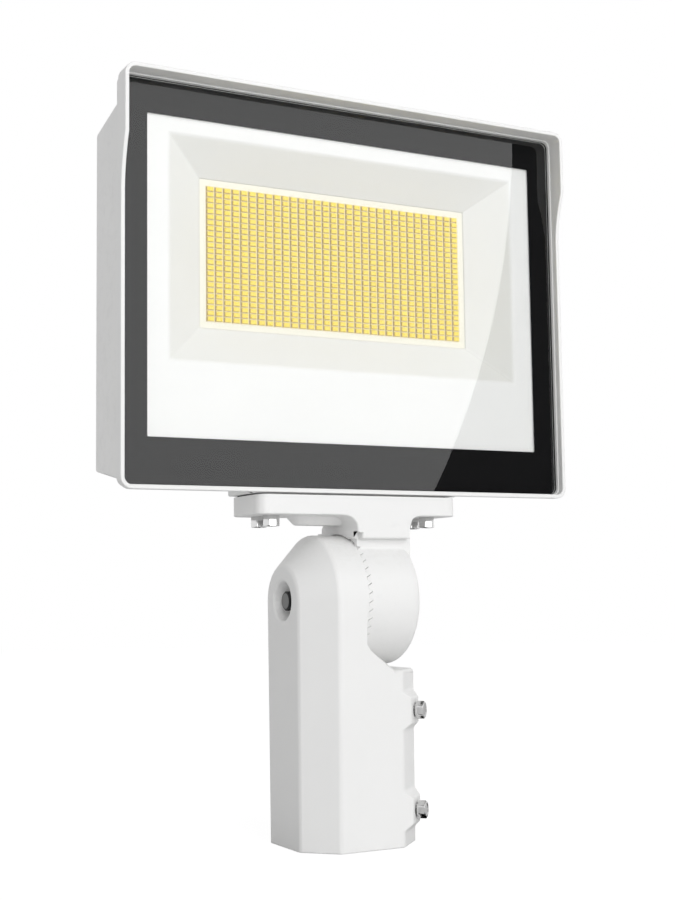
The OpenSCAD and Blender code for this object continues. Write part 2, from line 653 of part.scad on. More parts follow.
// Solid wedge under the recess, grown by skin on its outside
module recess_solid(skin, y0, y1) {
    mouth_x = mouth_half + skin;
    floor_x = floor_half + skin;
    low = [mouth_low_z - skin, floor_low_z - skin];
    high = [mouth_top_z + skin, floor_top_z + skin];
    polyhedron([[-mouth_x, y0, low[0]], [mouth_x, y0, low[0]],
        [mouth_x, y0, high[0]], [-mouth_x, y0, high[0]],
        [-floor_x, y1, low[1]], [floor_x, y1, low[1]],
        [floor_x, y1, high[1]], [-floor_x, y1, high[1]]],
        [[3, 2, 1, 0], [4, 5, 6, 7], [0, 1, 5, 4], [1, 2, 6, 5], [2, 3, 7, 6], [3, 0, 4, 7]]);
}

module reflector() color("white") difference() {
    union() {
        along_y(reflector_y, reflector_y + reflector_t)
            polygon(round_rect(-sheet_half, sheet_half, sheet_low_z, sheet_top_z, 2));
        recess_solid(reflector_t, reflector_y, board_y - 0.1);
    }
    recess_solid(0, reflector_y, board_y - 0.1);
    for (x = [-1, 1]) for (z = post_zs)
        bar_y(reflector_y - bite, reflector_y + reflector_t + bite, small_screw_r + 0.2,
            x = x * post_x, z = z);
}

// A small pan head screw along Y with its head at the front
module small_screw(x, y, z, grip, head_h = 1.2) {
    bar_y(y - e, y + grip, small_screw_r - thread_play, x = x, z = z);
    bar_y(y - head_h, y, small_head_r, x = x, z = z);
}

module reflector_screws() color("silver") for (x = [-1, 1]) for (z = post_zs)
    small_screw(x * post_x, reflector_y, z, 8, 0.5);

module light_board() color("ivory") difference() {
    box([-board_half, board_y, floor_mid_z - board_half_h],
        [board_half, board_y + board_t, floor_mid_z + board_half_h]);
    for (x = [-1, 1]) for (k = [-1, 0, 1])
        bar_y(board_y - bite, board_y + board_t + bite, small_screw_r + 0.2,
            x = x * board_screw_x, z = floor_mid_z + k * (board_half_h - 5));
}

module light_chips() color("gold") for (i = [0:chip_cols - 1]) for (k = [0:chip_rows - 1])
    translate([(i - (chip_cols - 1) / 2) * chip_dx - chip_w / 2, board_y - chip_t,
        floor_mid_z + (k - (chip_rows - 1) / 2) * chip_dz - chip_h / 2]) cube([chip_w, chip_t, chip_h]);

module board_screws() color("silver") for (x = [-1, 1]) for (k = [-1, 0, 1])
    small_screw(x * board_screw_x, board_y, floor_mid_z + k * (board_half_h - 5), board_t + heat_pad_t + 3);

module board_connector() color("white") difference() {
    box([connector_x - 5, board_y - connector_d, connector_z], [connector_x + 5, board_y, connector_z + 5]);
    for (side = [-1, 1])
        bar_z(connector_z - bite, connector_z + 1, light_lead_r + 0.1,
            x = connector_x + side * light_lead_side, y = board_y - connector_d / 2);
}

module thermal_pad() color("gray") along_y(board_y + board_t, spreader_y)
    polygon(round_rect(-board_screw_x + 4, board_screw_x - 4,
        floor_mid_z - board_half_h + 1, floor_mid_z + board_half_h - 1, 1));

module driver_case() color("silver") {
    difference() {
        union() {
            box([-driver_w / 2, driver_front_y, driver_z],
                [driver_w / 2, driver_back_y, driver_z + driver_h]);
            box([-driver_w / 2 - ear_w, driver_back_y - 1.6, driver_z + 8],
                [driver_w / 2 + ear_w, driver_back_y, driver_z + driver_h - 8]);
        }
        box([-driver_w / 2 + driver_skin, driver_front_y - bite, driver_z + driver_skin],
            [driver_w / 2 - driver_skin, driver_back_y - driver_skin, driver_z + driver_h - driver_skin]);
        for (x = [-1, 1]) {
            bar_y(driver_back_y - 4, driver_back_y + bite, small_screw_r + 0.2,
                x = x * (driver_w + ear_w) / 2, z = driver_z + driver_h / 2);
            bar_x(x * driver_w / 2 - 3, x * driver_w / 2 + 3, 4, y = driver_port_y, z = driver_port_z);
        }
    }
    // Standoffs that the driver's board rests on
    for (x = [-1, 1]) for (z = [8, driver_h - 8])
        bar_y(driver_back_y - driver_board_lift, driver_back_y - driver_skin / 2, 2.5,
            x = x * (driver_w / 2 - 8), z = driver_z + z);
}

module driver_lid() color("silver")
    box([-driver_w / 2, driver_front_y - driver_skin, driver_z],
        [driver_w / 2, driver_front_y, driver_z + driver_h]);

module driver_board() color("darkgreen")
    box([-driver_w / 2 + 3, driver_back_y - driver_board_lift - driver_board_t, driver_z + 3],
        [driver_w / 2 - 3, driver_back_y - driver_board_lift, driver_z + driver_h - 3]);

module driver_transformer() color("goldenrod") {
    core = [driver_w / 12, 9, driver_h * 0.3];
    winding = [driver_w / 9.5, 5, driver_h * 0.2];
    for (half = [core, winding]) translate([0, driver_back_y - 15, driver_z + driver_h / 2]) box(-half, half);
}

module driver_capacitors() color("darkslateblue") for (x = [-0.32, -0.22, 0.21, 0.32])
    bar_y(driver_back_y - 24, driver_back_y - 6, driver_h / 6, x = x * driver_w, z = driver_z + driver_h / 2);

module driver_pad() color("gray")
    box([-driver_w / 2 + 4, driver_back_y, driver_z + 3],
        [driver_w / 2 - 4, bay_back_y, driver_z + driver_h - 3]);

module driver_screws() color("silver") for (x = [-1, 1])
    small_screw(x * (driver_w + ear_w) / 2, driver_back_y - 1.6, driver_z + driver_h / 2,
        1.6 + driver_pad_t + 2, 2);

module surge_protector() color("midnightblue")
    along_y(bay_back_y - 16, bay_back_y)
        polygon(round_rect(block_pole_x - 12, block_pole_x + 12, surge_z, surge_z + 20, 3));

// Two-pole block: leads go in from below and out at the top
module terminal_block() color("ivory") difference() {
    box([block_pole_x - 8, block_y - block_d / 2, block_z],
        [block_pole_x + 8, bay_back_y, block_z + block_h]);
    for (side = [-1, 1]) translate([block_pole_x + side * block_pole_gap / 2, 0, 0]) {
        bar_z(block_z - bite, block_z + 3, lead_r + 0.3, y = block_y);
        for (y = [-2.9, 0, 2.9])
            bar_z(block_z + block_h - 3, block_z + block_h + bite, lead_r + 0.3, y = block_y + y);
        bar_y(block_y - block_d / 2 - bite, block_y - block_d / 2 + 2, 2, z = block_z + block_h / 2);
    }
}

// Two supply leads from the grommet, along the bottom of the bay, up into the terminal block
module supply_leads() for (i = [0, 1]) color(["black", "white"][i]) {
    side = 2 * i - 1;
    x = block_pole_x - side * block_pole_gap / 2;
    y = entry_y + (i - 1) * lead_gap;
    low_z = lead_low_z + i * 2.6;
    wire([[entry_x, y, head_z], [entry_x, y, low_z - 3], [entry_x - 3, y, low_z], [x + 16, y, low_z],
        [x + 6, block_y - 4, low_z], [x + 2, block_y, low_z], [x, block_y, low_z + 3],
        [x, block_y, block_z + 3]], lead_r);
}

// The green lead, from the grommet to a ring under the ground screw
module ground_lead() color("green") {
    y = entry_y + lead_gap;
    ring_y = bay_back_y - 0.8;
    wire([[entry_x, y, head_z], [entry_x, y, lead_low_z - 3], [entry_x - 3, y, lead_low_z],
        [ground_x + 17, y, lead_low_z], [ground_x + 11, ring_y - 3, lead_low_z + 2],
        [ground_x + 7, ring_y - 0.7, ground_z - 1], [ground_x + 2.9, ring_y - 0.7, ground_z]], lead_r);
    along_y(ring_y, bay_back_y) difference() {
        polygon(arc(ground_x, ground_z, 3.6, 0, 345, 23));
        polygon(arc(ground_x, ground_z, small_screw_r + 0.2, 0, 345, 23));
    }
}

// Two leads from the surge protector down into the block
module surge_leads() for (side = [-1, 1]) color(side < 0 ? "black" : "white") {
    x = block_pole_x + side * block_pole_gap / 2;
    wire([[x, block_y + 2.9, surge_z], [x, block_y + 2.9, block_z + block_h - 3]], lead_r);
}

// Two leads from the block into the driver's left end
module driver_leads() for (side = [-1, 1]) color(side < 0 ? "black" : "white") {
    x = block_pole_x + side * block_pole_gap / 2;
    z = driver_port_z - side * 1.3;
    wire([[x, block_y - 2.9, block_z + block_h - 3], [x, block_y - 2.9, z - 2.5], [x + 3, block_y - 4, z],
        [-driver_w / 2 - 10, driver_port_y, z], [-driver_w / 2 + 2, driver_port_y, z]], lead_r);
}

// Two leads from the driver's right end up to the light board's connector
module light_leads() for (side = [-1, 1]) color(side < 0 ? "red" : "black") {
    shift = side * light_lead_side;
    lead_x = driver_w / 2 + 7;
    x = connector_x + shift;
    y = board_y - connector_d / 2;
    low_z = driver_port_z - shift;
    high_z = bay_top_z + 8 + shift;
    wire([[driver_w / 2 - 2, driver_port_y, low_z], [lead_x - 3, driver_port_y, low_z],
        [lead_x + shift, driver_port_y, driver_port_z + 4], [lead_x + shift, y, bay_top_z - 5],
        [lead_x + shift, y, bay_top_z + 5], [lead_x - 3, y, high_z], [x + 3, y, high_z],
        [x, y, bay_top_z + 12], [x, y, connector_z + 1]], light_lead_r);
}

module wire_grommet() color("black") difference() {
    bar_z(pad_z, pad_z + 11.5, entry_r - 0.1, x = entry_x, y = entry_y);
    bar_z(pad_z - bite, driver_z, lead_gap + lead_r + 0.6, x = entry_x, y = entry_y);
}

module ground_screw() color("limegreen") small_screw(ground_x, bay_back_y - 0.8, ground_z, 2.8, 2);

module breather_vent() color("dimgray") {
    translate([vent_x, shell_back_y + 3.5, vent_z]) rotate([90, 0, 0]) hex_bar(14, 3.5);
    bar_y(bay_back_y - 4, shell_back_y + e, 5.9, x = vent_x, z = vent_z);
}

module vent_nut() color("silver") difference() {
    translate([vent_x, bay_back_y, vent_z]) rotate([90, 0, 0]) hex_bar(16, 2.5);
    bar_y(bay_back_y - 4, bay_back_y + bite, 5.95, x = vent_x, z = vent_z);
}

slipfitter_body();
clamp_screw_upper();
clamp_screw_lower();
pivot_bolt();
pivot_lock_washer();
upper_bracket();
bracket_gasket();
head_bolts();
head_lock_washers();
housing();
lens_glass();
lens_border();
lens_gasket();
reflector();
reflector_screws();
light_board();
light_chips();
board_screws();
board_connector();
thermal_pad();
driver_case();
driver_lid();
driver_board();
driver_transformer();
driver_capacitors();
driver_pad();
driver_screws();
surge_protector();
terminal_block();
supply_leads();
ground_lead();
surge_leads();
driver_leads();
light_leads();
wire_grommet();
ground_screw();
breather_vent();
vent_nut();
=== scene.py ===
"""Looks of the LED flood light: castings, lens, reflector, chips and fasteners dressed on the CAD frame."""
import json

import bmesh
import bpy
import numpy as np
from mathutils import Matrix, Vector


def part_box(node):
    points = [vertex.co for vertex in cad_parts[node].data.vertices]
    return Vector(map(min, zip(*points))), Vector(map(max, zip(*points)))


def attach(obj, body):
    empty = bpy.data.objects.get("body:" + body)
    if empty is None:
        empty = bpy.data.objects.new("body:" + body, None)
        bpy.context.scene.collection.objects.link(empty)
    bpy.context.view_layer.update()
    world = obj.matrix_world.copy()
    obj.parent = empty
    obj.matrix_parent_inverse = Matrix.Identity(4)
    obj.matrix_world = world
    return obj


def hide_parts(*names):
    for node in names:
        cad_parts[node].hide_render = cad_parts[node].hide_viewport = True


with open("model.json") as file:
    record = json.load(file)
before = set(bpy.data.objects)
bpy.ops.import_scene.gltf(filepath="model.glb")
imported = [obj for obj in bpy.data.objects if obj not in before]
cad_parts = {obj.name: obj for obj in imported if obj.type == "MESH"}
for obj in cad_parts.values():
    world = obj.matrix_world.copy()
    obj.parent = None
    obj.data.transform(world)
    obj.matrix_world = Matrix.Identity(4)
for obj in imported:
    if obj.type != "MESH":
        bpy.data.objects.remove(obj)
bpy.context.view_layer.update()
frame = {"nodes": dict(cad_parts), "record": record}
scene = bpy.context.scene
cad = frame["nodes"]
MM = 0.001

# Sizes that the part's source gives, in millimetres. Fitter and knuckle
BORE_R = 30.7
PIVOT_Z = 137.3
KNUCKLE_R = 37.4
RING_IN_R = 27.5
DISC_FACE_X = -1.1
# Bracket and head
PLATE_LOW_Z, PLATE_TOP_Z = 185.2, 196.2
WIRE_ENTRY = (-17, -6)
HEAD_Z, TOP_Z = 197.3, 425.9
SHELL_HALF = 142.0
FLANGE_BACK_Y = -16.4
# Screws and bolts: width across flats and height of the heads, and where they sit
SHANK_R = 3.0
CLAMP_HEIGHTS = {"upper": 75.0, "lower": 19.6}
CLAMP_FLATS, CLAMP_TALL = 9.0, 4.6
CLAMP_HEAD_AT, CLAMP_TIP = 44.9, 30.75
PIVOT_FLATS, PIVOT_TALL = 10.0, 5.0
PIVOT_HEAD_X, PIVOT_TIP_X = -30.2, 24.0
BOLT_X, BOLT_YS = 50.7, (-15.0, 1.2)
BOLT_FLATS, BOLT_TALL, BOLT_SHANK = 8.4, 6.2, 18.0
# Lens and reflector: half width, lower edge and upper edge of each outline
LENS_CORNER = 4.2
SHEET = (136.2, 207.5, 405.0)
WINDOW = (126.0, 226.0, 403.9)
MOUTH = (113.4, 268.0, 395.3)
FLOOR = (88.2, 290.7, 376.4)
# Chips: width and height of one, how many along and up, and the height of the field's middle
CHIP, CHIP_FIELD = (4.0, 2.6), (32, 24)
CHIP_FIELD_Z = (FLOOR[1] + FLOOR[2]) / 2


# Shader nodes

class Tree:
    """Adds shader nodes to one tree: sockets are given by name, as a value or as an output to join."""

    def __init__(self, tree):
        self.tree = tree

    def add(self, kind, sockets=None, **settings):
        node = self.tree.nodes.new(kind)
        for name, value in settings.items():
            setattr(node, name, value)
        for name, value in (sockets or {}).items():
            if isinstance(value, bpy.types.NodeSocket):
                self.tree.links.new(value, node.inputs[name])
            else:
                node.inputs[name].default_value = value
        return node

    def maths(self, operation, a, b=None, c=None, clamp=False):
        sockets = {i: v for i, v in enumerate((a, b, c)) if v is not None}
        return self.add("ShaderNodeMath", sockets, operation=operation, use_clamp=clamp).outputs[0]

    def blend(self, share, a, b):
        return self.add("ShaderNodeMix", {0: share, 6: a, 7: b}, data_type="RGBA").outputs[2]

    def spread(self, value, low, high, to_low=0.0, to_high=1.0):
        node = self.add("ShaderNodeMapRange", {"Value": value, "From Min": low, "From Max": high,
                                               "To Min": to_low, "To Max": to_high})
        return node.outputs[0]

    def noise(self, scale, detail=2.0, roughness=0.5, stretch=None):
        place = self.add("ShaderNodeTexCoord").outputs["Object"]
        if stretch is not None:
            place = self.add("ShaderNodeMapping", {"Vector": place, "Scale": stretch}).outputs[0]
        node = self.add("ShaderNodeTexNoise", {"Vector": place, "Scale": scale, "Detail": detail,
                                               "Roughness": roughness})
        return node.outputs["Fac"]

    def group(self, which, **sockets):
        node = self.add("ShaderNodeGroup", node_tree=which)
        for name, value in sockets.items():
            name = name.replace("_", " ").capitalize()
            if isinstance(value, bpy.types.NodeSocket):
                self.tree.links.new(value, node.inputs[name])
            else:
                node.inputs[name].default_value = value
        return node.outputs


def new_group(name, inputs, outputs):
    """An empty node group with number inputs and with outputs, and its in and out nodes."""
    tree = bpy.data.node_groups.new(name, "ShaderNodeTree")
    for socket, value in inputs.items():
        made = tree.interface.new_socket(socket, in_out="INPUT", socket_type="NodeSocketFloat")
        made.default_value = value
    for socket in outputs:
        tree.interface.new_socket(socket, in_out="OUTPUT", socket_type="NodeSocketFloat")
    build = Tree(tree)
    return tree, build, build.add("NodeGroupInput").outputs, build.add("NodeGroupOutput").inputs


def coat_group():
    """Powder coat: fine orange peel, slow changes of tone and a gloss that wanders a little."""
    tree, n, given, out = new_group("powder_coat", {"Peel size": 900.0, "Relief": 1.0, "Gloss": 0.42},
                                    ["Height", "Roughness", "Tone"])
    peel = n.noise(given["Peel size"], 3.0, 0.55)
    speck = n.noise(3200.0, 1.0)
    joined = n.maths("MULTIPLY_ADD", speck, 0.25, peel)
    n.tree.links.new(n.maths("MULTIPLY", joined, given["Relief"]), out["Height"])
    slow = n.noise(38.0, 3.0, 0.6)
    n.tree.links.new(n.maths("ADD", n.spread(slow, 0.3, 0.7, -0.04, 0.05), given["Gloss"]), out["Roughness"])
    n.tree.links.new(n.spread(n.noise(11.0, 4.0, 0.6), 0.3, 0.7), out["Tone"])
    return tree


def handling_group():
    """Dust that settles on upward faces, and rubbed places along the edges."""
    tree, n, given, out = new_group("dust_and_rub", {"Dust": 0.3, "Rub": 0.3}, ["Dust mask", "Rub mask"])
    up = n.add("ShaderNodeSeparateXYZ", {0: n.add("ShaderNodeTexCoord").outputs["Normal"]}).outputs["Z"]
    specks = n.spread(n.noise(420.0, 5.0, 0.75), 0.42, 0.72)
    dust = n.maths("MULTIPLY", n.spread(up, 0.35, 1.0), specks)
    n.tree.links.new(n.maths("MULTIPLY", dust, given["Dust"], clamp=True), out["Dust mask"])
    edge = n.spread(n.add("ShaderNodeNewGeometry").outputs["Pointiness"], 0.53, 0.62)
    rub = n.maths("MULTIPLY", edge, n.spread(n.noise(160.0, 4.0, 0.7), 0.5, 0.68))
    n.tree.links.new(n.maths("MULTIPLY", rub, given["Rub"], clamp=True), out["Rub mask"])
    return tree


def lines_group():
    """Fine parallel marks of rolling or turning: a noise stretched along one direction."""
    tree, n, given, out = new_group("fine_lines", {"Along x": 1.0, "Along y": 1.0, "Along z": 1.0,
                                                   "Relief": 1.0, "Gloss": 0.3},
                                    ["Height", "Roughness", "Tone"])
    stretch = n.add("ShaderNodeCombineXYZ", {0: given["Along x"], 1: given["Along y"],
                                             2: given["Along z"]}).outputs[0]
    marks = n.noise(400.0, 4.0, 0.7, stretch=stretch)
    n.tree.links.new(n.maths("MULTIPLY", marks, given["Relief"]), out["Height"])
    n.tree.links.new(n.maths("ADD", n.spread(marks, 0.3, 0.7, -0.08, 0.1), given["Gloss"]), out["Roughness"])
    n.tree.links.new(marks, out["Tone"])
    return tree


COAT = coat_group()
HANDLING = handling_group()
LINES = lines_group()


# Finishes

def new_material(name):
    """A material with its node helper and its Principled shader."""
    material = bpy.data.materials.new(name)
    material.use_nodes = True
    return material, Tree(material.node_tree), material.node_tree.nodes["Principled BSDF"]


def join(n, shader, colour, roughness=None, height=None, depth=0.0, strength=1.0):
    """Joins colour, roughness and relief to a Principled shader; depth is in metres."""
    n.tree.links.new(colour, shader.inputs["Base Color"])
    if roughness is not None:
        n.tree.links.new(roughness, shader.inputs["Roughness"])
    if height is not None:
        bump = n.add("ShaderNodeBump", {"Height": height, "Strength": strength, "Distance": depth})
        n.tree.links.new(bump.outputs[0], shader.inputs["Normal"])


def shade(rgb, by):
    """A colour made lighter or darker by a factor."""
    return tuple(min(1.0, c * by) for c in rgb) + (1.0,)


def coated(name, rgb, gloss):
    """Powder coat or paint, with dust on top and rubbed edges."""
    material, n, shader = new_material(name)
    coat = n.group(COAT, peel_size=900.0, relief=1.0, gloss=gloss)
    marks = n.group(HANDLING, dust=0.3, rub=0.3)
    colour = n.blend(coat["Tone"], shade(rgb, 0.985), shade(rgb, 1.012))
    colour = n.blend(marks["Dust mask"], colour, (0.62, 0.60, 0.56, 1))
    colour = n.blend(marks["Rub mask"], colour, shade(rgb, 0.86))
    rough = n.maths("ADD", coat["Roughness"], n.maths("MULTIPLY", marks["Dust mask"], 0.25), clamp=True)
    join(n, shader, colour, rough, coat["Height"], 0.00002)
    return material


def metal(name, rgb, gloss, along=(1, 1, 1), relief=1.0, dark=0.8):
    """Rolled, drawn or turned metal with fine marks."""
    material, n, shader = new_material(name)
    shader.inputs["Metallic"].default_value = 1.0
    lines = n.group(LINES, along_x=along[0], along_y=along[1], along_z=along[2], relief=relief, gloss=gloss)
    marks = n.group(HANDLING, dust=0.15, rub=0.2)
    colour = n.blend(lines["Tone"], shade(rgb, dark), shade(rgb, 1.1))
    colour = n.blend(marks["Dust mask"], colour, (0.5, 0.48, 0.45, 1))
    join(n, shader, colour, lines["Roughness"], lines["Height"], 0.00001)
    return material


def moulded(name, rgb, gloss, grain=1500.0, relief=1.0, sheen=0.0):
    """Moulded plastic or rubber: a matt grain with faint mottling and a little dust."""
    material, n, shader = new_material(name)
    shader.inputs["Sheen Weight"].default_value = sheen
    coat = n.group(COAT, peel_size=grain, relief=relief, gloss=gloss)
    marks = n.group(HANDLING, dust=0.25, rub=0.2)
    colour = n.blend(coat["Tone"], shade(rgb, 0.88), shade(rgb, 1.1))
    colour = n.blend(marks["Dust mask"], colour, (0.5, 0.48, 0.45, 1))
    join(n, shader, colour, coat["Roughness"], coat["Height"], 0.00003)
    return material


def glass():
    """Tempered lens: clear, faintly green at its edge, and letting light through for shadows."""
    material, n, shader = new_material("lens_glass")
    shader.inputs["Roughness"].default_value = 0.0
    shader.inputs["IOR"].default_value = 1.5
    shader.inputs["Transmission Weight"].default_value = 1.0
    join(n, shader, n.blend(n.noise(25.0, 2.0), (0.995, 0.997, 0.995, 1), (0.997, 1.0, 0.997, 1)))
    clear = n.add("ShaderNodeBsdfTransparent", {"Color": (0.98, 0.984, 0.98, 1)}).outputs[0]
    path = n.add("ShaderNodeLightPath").outputs
    soft = n.maths("MAXIMUM", path["Is Shadow Ray"], path["Is Diffuse Ray"])
    mixed = n.add("ShaderNodeMixShader", {0: soft, 1: shader.outputs[0], 2: clear})
    n.tree.links.new(mixed.outputs[0], n.tree.nodes["Material Output"].inputs["Surface"])
    return material


def enamel():
    """Black enamel fired onto the inner face of the glass: fine screen-print pinholes."""
    material, n, shader = new_material("black_enamel")
    shader.inputs["Specular IOR Level"].default_value = 0.0
    grain = n.noise(2600.0, 3.0, 0.7)
    colour = n.blend(n.spread(grain, 0.62, 0.8), (0.009, 0.009, 0.0095, 1), (0.015, 0.015, 0.016, 1))
    join(n, shader, colour, n.spread(grain, 0.3, 0.7, 0.5, 0.6))
    return material


def phosphor():
    """Light chips: yellow face with faint mottling and a paler middle, and sides painted a darker tan as
    painted shade, which gives each chip a dark foot.
    """
    material, n, shader = new_material("phosphor")
    face = n.add("ShaderNodeAttribute", attribute_name="face_share").outputs["Fac"]
    tone = n.add("ShaderNodeAttribute", attribute_name="chip_tone").outputs["Fac"]
    grain = n.noise(2400.0, 3.0, 0.6)
    yellow = n.blend(n.spread(n.maths("MULTIPLY_ADD", tone, 0.3, grain), 0.3, 0.95),
                     (0.83, 0.63, 0.002, 1), (0.88, 0.69, 0.006, 1))
    # The darker tan on the chips' sides is painted shade
    colour = n.blend(face, (0.50, 0.30, 0.004, 1), yellow)
    shader.inputs["Specular IOR Level"].default_value = 0.1
    join(n, shader, colour, n.spread(grain, 0.3, 0.7, 0.38, 0.55), grain, 0.00001)
    return material


def white_sheet():
    """Reflector sheet: white coat, painted a shade warmer and darker on the slanted walls as painted shade
    with a painted amber bounce from the chips. The change lies in the folds."""
    material, n, shader = new_material("white_sheet")
    coat = n.group(COAT, peel_size=1300.0, relief=0.5, gloss=0.5)
    depth = n.add("ShaderNodeSeparateXYZ", {0: n.add("ShaderNodeTexCoord").outputs["Object"]}).outputs["Y"]
    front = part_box("reflector")[0][1]
    fold_starts, fold_ends = 0.4 * MM, 1.4 * MM
    wall = n.spread(depth, front + fold_starts, front + fold_ends)
    flat = n.blend(coat["Tone"], (0.745, 0.745, 0.74, 1), (0.77, 0.77, 0.765, 1))
    # The slanted walls' darker, warmer colour is painted shade with a painted amber bounce from the chips
    slanted = n.blend(coat["Tone"], (0.68, 0.68, 0.66, 1), (0.70, 0.70, 0.68, 1))
    join(n, shader, n.blend(wall, flat, slanted), coat["Roughness"], coat["Height"], 0.00002)
    return material


def board_mask():
    """Light board: off-white mask. Between the chips it has a cream line beside each column and dark amber
    further on, the dark amber being painted shadow of the next chip.
    """
    material, n, shader = new_material("board_mask")
    place = n.add("ShaderNodeSeparateXYZ", {0: n.add("ShaderNodeTexCoord").outputs["Object"]}).outputs
    out_x = n.maths("ABSOLUTE", place["X"])
    out_z = n.maths("ABSOLUTE", n.maths("SUBTRACT", place["Z"], CHIP_FIELD_Z * MM))
    # The field's half width and half height, each from the start to the end of its soft edge
    half_wide, half_high = (84.2 * MM, 84.8 * MM), (38.8 * MM, 39.4 * MM)
    field = n.maths("MULTIPLY", n.spread(out_x, *half_wide, 1, 0), n.spread(out_z, *half_high, 1, 0))
    grain = n.noise(900.0, 3.0, 0.6)
    left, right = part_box("light_chips")[0][0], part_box("light_chips")[1][0]
    pitch = (right - left - CHIP[0] * MM) / (CHIP_FIELD[0] - 1)
    column = n.maths("FRACT", n.maths("DIVIDE", n.maths("SUBTRACT", place["X"], left), pitch))
    chip_share = CHIP[0] * MM / pitch
    cream_line = n.spread(column, chip_share + 0.13, chip_share + 0.16, 1, 0)
    shader.inputs["Specular IOR Level"].default_value = 0.15
    ivory = n.blend(grain, (0.77, 0.745, 0.63, 1), (0.81, 0.785, 0.67, 1))
    # The dark amber is painted shadow of the next chip on the board; the cream line is the board beside each
    # column
    amber = n.blend(cream_line, (0.30, 0.19, 0.003, 1), (0.86, 0.76, 0.42, 1))
    join(n, shader, n.blend(field, ivory, amber), n.spread(grain, 0.3, 0.7, 0.35, 0.5), grain, 0.00002, 0.3)
    return material


def blackened():
    """Black-oxide bolt: dark oiled steel whose flat end is rubbed to a plain grey, inside a radius."""
    end_r, fade_r = 4.3 * MM, 4.5 * MM
    material, n, shader = new_material("dark_steel")
    shader.inputs["Specular IOR Level"].default_value = 0.2
    place = n.add("ShaderNodeSeparateXYZ", {0: n.add("ShaderNodeTexCoord").outputs["Object"]}).outputs
    y, z = place["Y"], n.maths("SUBTRACT", place["Z"], PIVOT_Z * MM)
    away = n.maths("SQRT", n.maths("MULTIPLY_ADD", y, y, n.maths("MULTIPLY", z, z)))
    facing = n.add("ShaderNodeSeparateXYZ", {0: n.add("ShaderNodeTexCoord").outputs["Normal"]}).outputs["X"]
    end = n.maths("MULTIPLY", n.spread(facing, -0.9, -0.97, 0, 1), n.spread(away, fade_r, end_r, 0, 1))
    lines = n.group(LINES, along_x=0.2, along_y=1, along_z=1, relief=1.0, gloss=0.42)
    dark = n.blend(lines["Tone"], (0.010, 0.010, 0.011, 1), (0.028, 0.028, 0.03, 1))
    grey = n.blend(lines["Tone"], (0.17, 0.17, 0.17, 1), (0.22, 0.22, 0.22, 1))
    join(n, shader, n.blend(end, dark, grey), lines["Roughness"], lines["Height"], 0.00001)
    return material


WHITE = (0.825, 0.825, 0.82)
FINISHES = {
    "white_coated_casting": coated("white_coated_casting", WHITE, 0.44),
    "stainless_steel": metal("stainless_steel", (0.70, 0.70, 0.70), 0.13, (1, 1, 0.15), 0.1, 0.94),
    "dark_steel": blackened(),
    "grey_silicone": moulded("grey_silicone", (0.10, 0.10, 0.105), 0.6),
    "white_silicone": moulded("white_silicone", (0.85, 0.85, 0.83), 0.5),
    "lens_glass": glass(),
    "black_enamel": enamel(),
    "white_sheet": white_sheet(),
    "board_mask": board_mask(),
    "phosphor": phosphor(),
    "white_plastic": moulded("white_plastic", (0.84, 0.83, 0.79), 0.42),
    "bare_aluminium": metal("bare_aluminium", (0.80, 0.81, 0.82), 0.36, (0.05, 1, 1)),
    "circuit_board": moulded("circuit_board", (0.03, 0.19, 0.08), 0.35, 700.0),
    "transformer_tape": moulded("transformer_tape", (0.78, 0.55, 0.10), 0.3, 400.0),
    "capacitor_sleeve": moulded("capacitor_sleeve", (0.03, 0.05, 0.16), 0.25, 500.0),
    "black_lead": moulded("black_lead", (0.03, 0.03, 0.03), 0.45, 1800.0),
    "red_lead": moulded("red_lead", (0.55, 0.03, 0.03), 0.45, 1800.0),
    "green_lead": moulded("green_lead", (0.03, 0.36, 0.10), 0.45, 1800.0),
    "black_rubber": moulded("black_rubber", (0.03, 0.03, 0.03), 0.6, 1600.0, 1.4, 0.3),
    "green_screw": coated("green_screw", (0.05, 0.40, 0.12), 0.3),
    "grey_plastic": moulded("grey_plastic", (0.32, 0.33, 0.34), 0.5),
}
slots = {row["node"]: row["material_slot"] for row in frame["record"]["subparts"]}
for node, made in cad.items():
    made.data.materials.clear()
    made.data.materials.append(FINISHES[slots[node]])


# Pieces

def new_piece(name, node, mesh):
    """An object at the origin that rides on a CAD node's body, stands for the node and takes its finish."""
    mesh.name = name
    piece = bpy.data.objects.new(name, mesh)
    scene.collection.objects.link(piece)
    mesh.materials.clear()
    mesh.materials.append(FINISHES[slots[node]])
    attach(piece, body_of(node))
    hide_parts(node)
    return piece


def body_of(node):
    """The body that a CAD node belongs to."""
    return next(b for b, members in frame["record"]["behaviour"]["bodies"].items() if node in members)


def mesh_from(name, points, faces, smooth=30.0):
    """A mesh from an array of points in millimetres and faces, shaded smooth below an angle in degrees."""
    mesh = bpy.data.meshes.new(name)
    mesh.from_pydata((np.asarray(points, float) * MM).tolist(), [], [list(map(int, f)) for f in faces])
    mesh.validate()
    mesh.shade_smooth()
    mesh.set_sharp_from_angle(angle=np.radians(smooth))
    return mesh


def grid_faces(rows, cols, wrap_rows=False):
    """Quads between neighbours of a grid of points. Each row closes on itself, and with wrap_rows the
    last row joins the first."""
    firsts = np.arange(rows if wrap_rows else rows - 1)
    r, c = (a.ravel() for a in np.meshgrid(firsts, np.arange(cols), indexing="ij"))
    r1, c1 = (r + 1) % rows, (c + 1) % cols
    return np.stack([r * cols + c, r * cols + c1, r1 * cols + c1, r1 * cols + c], 1)


def joined(parts):
    """Several (points, faces) made one: each part's faces count on from the parts before it."""
    points, faces, first = [], [], 0
    for p, f in parts:
        p = np.asarray(p, float).reshape(-1, 3)
        points.append(p)
        faces += [[int(i) + first for i in face] for face in f]
        first += len(p)
    return np.concatenate(points), faces


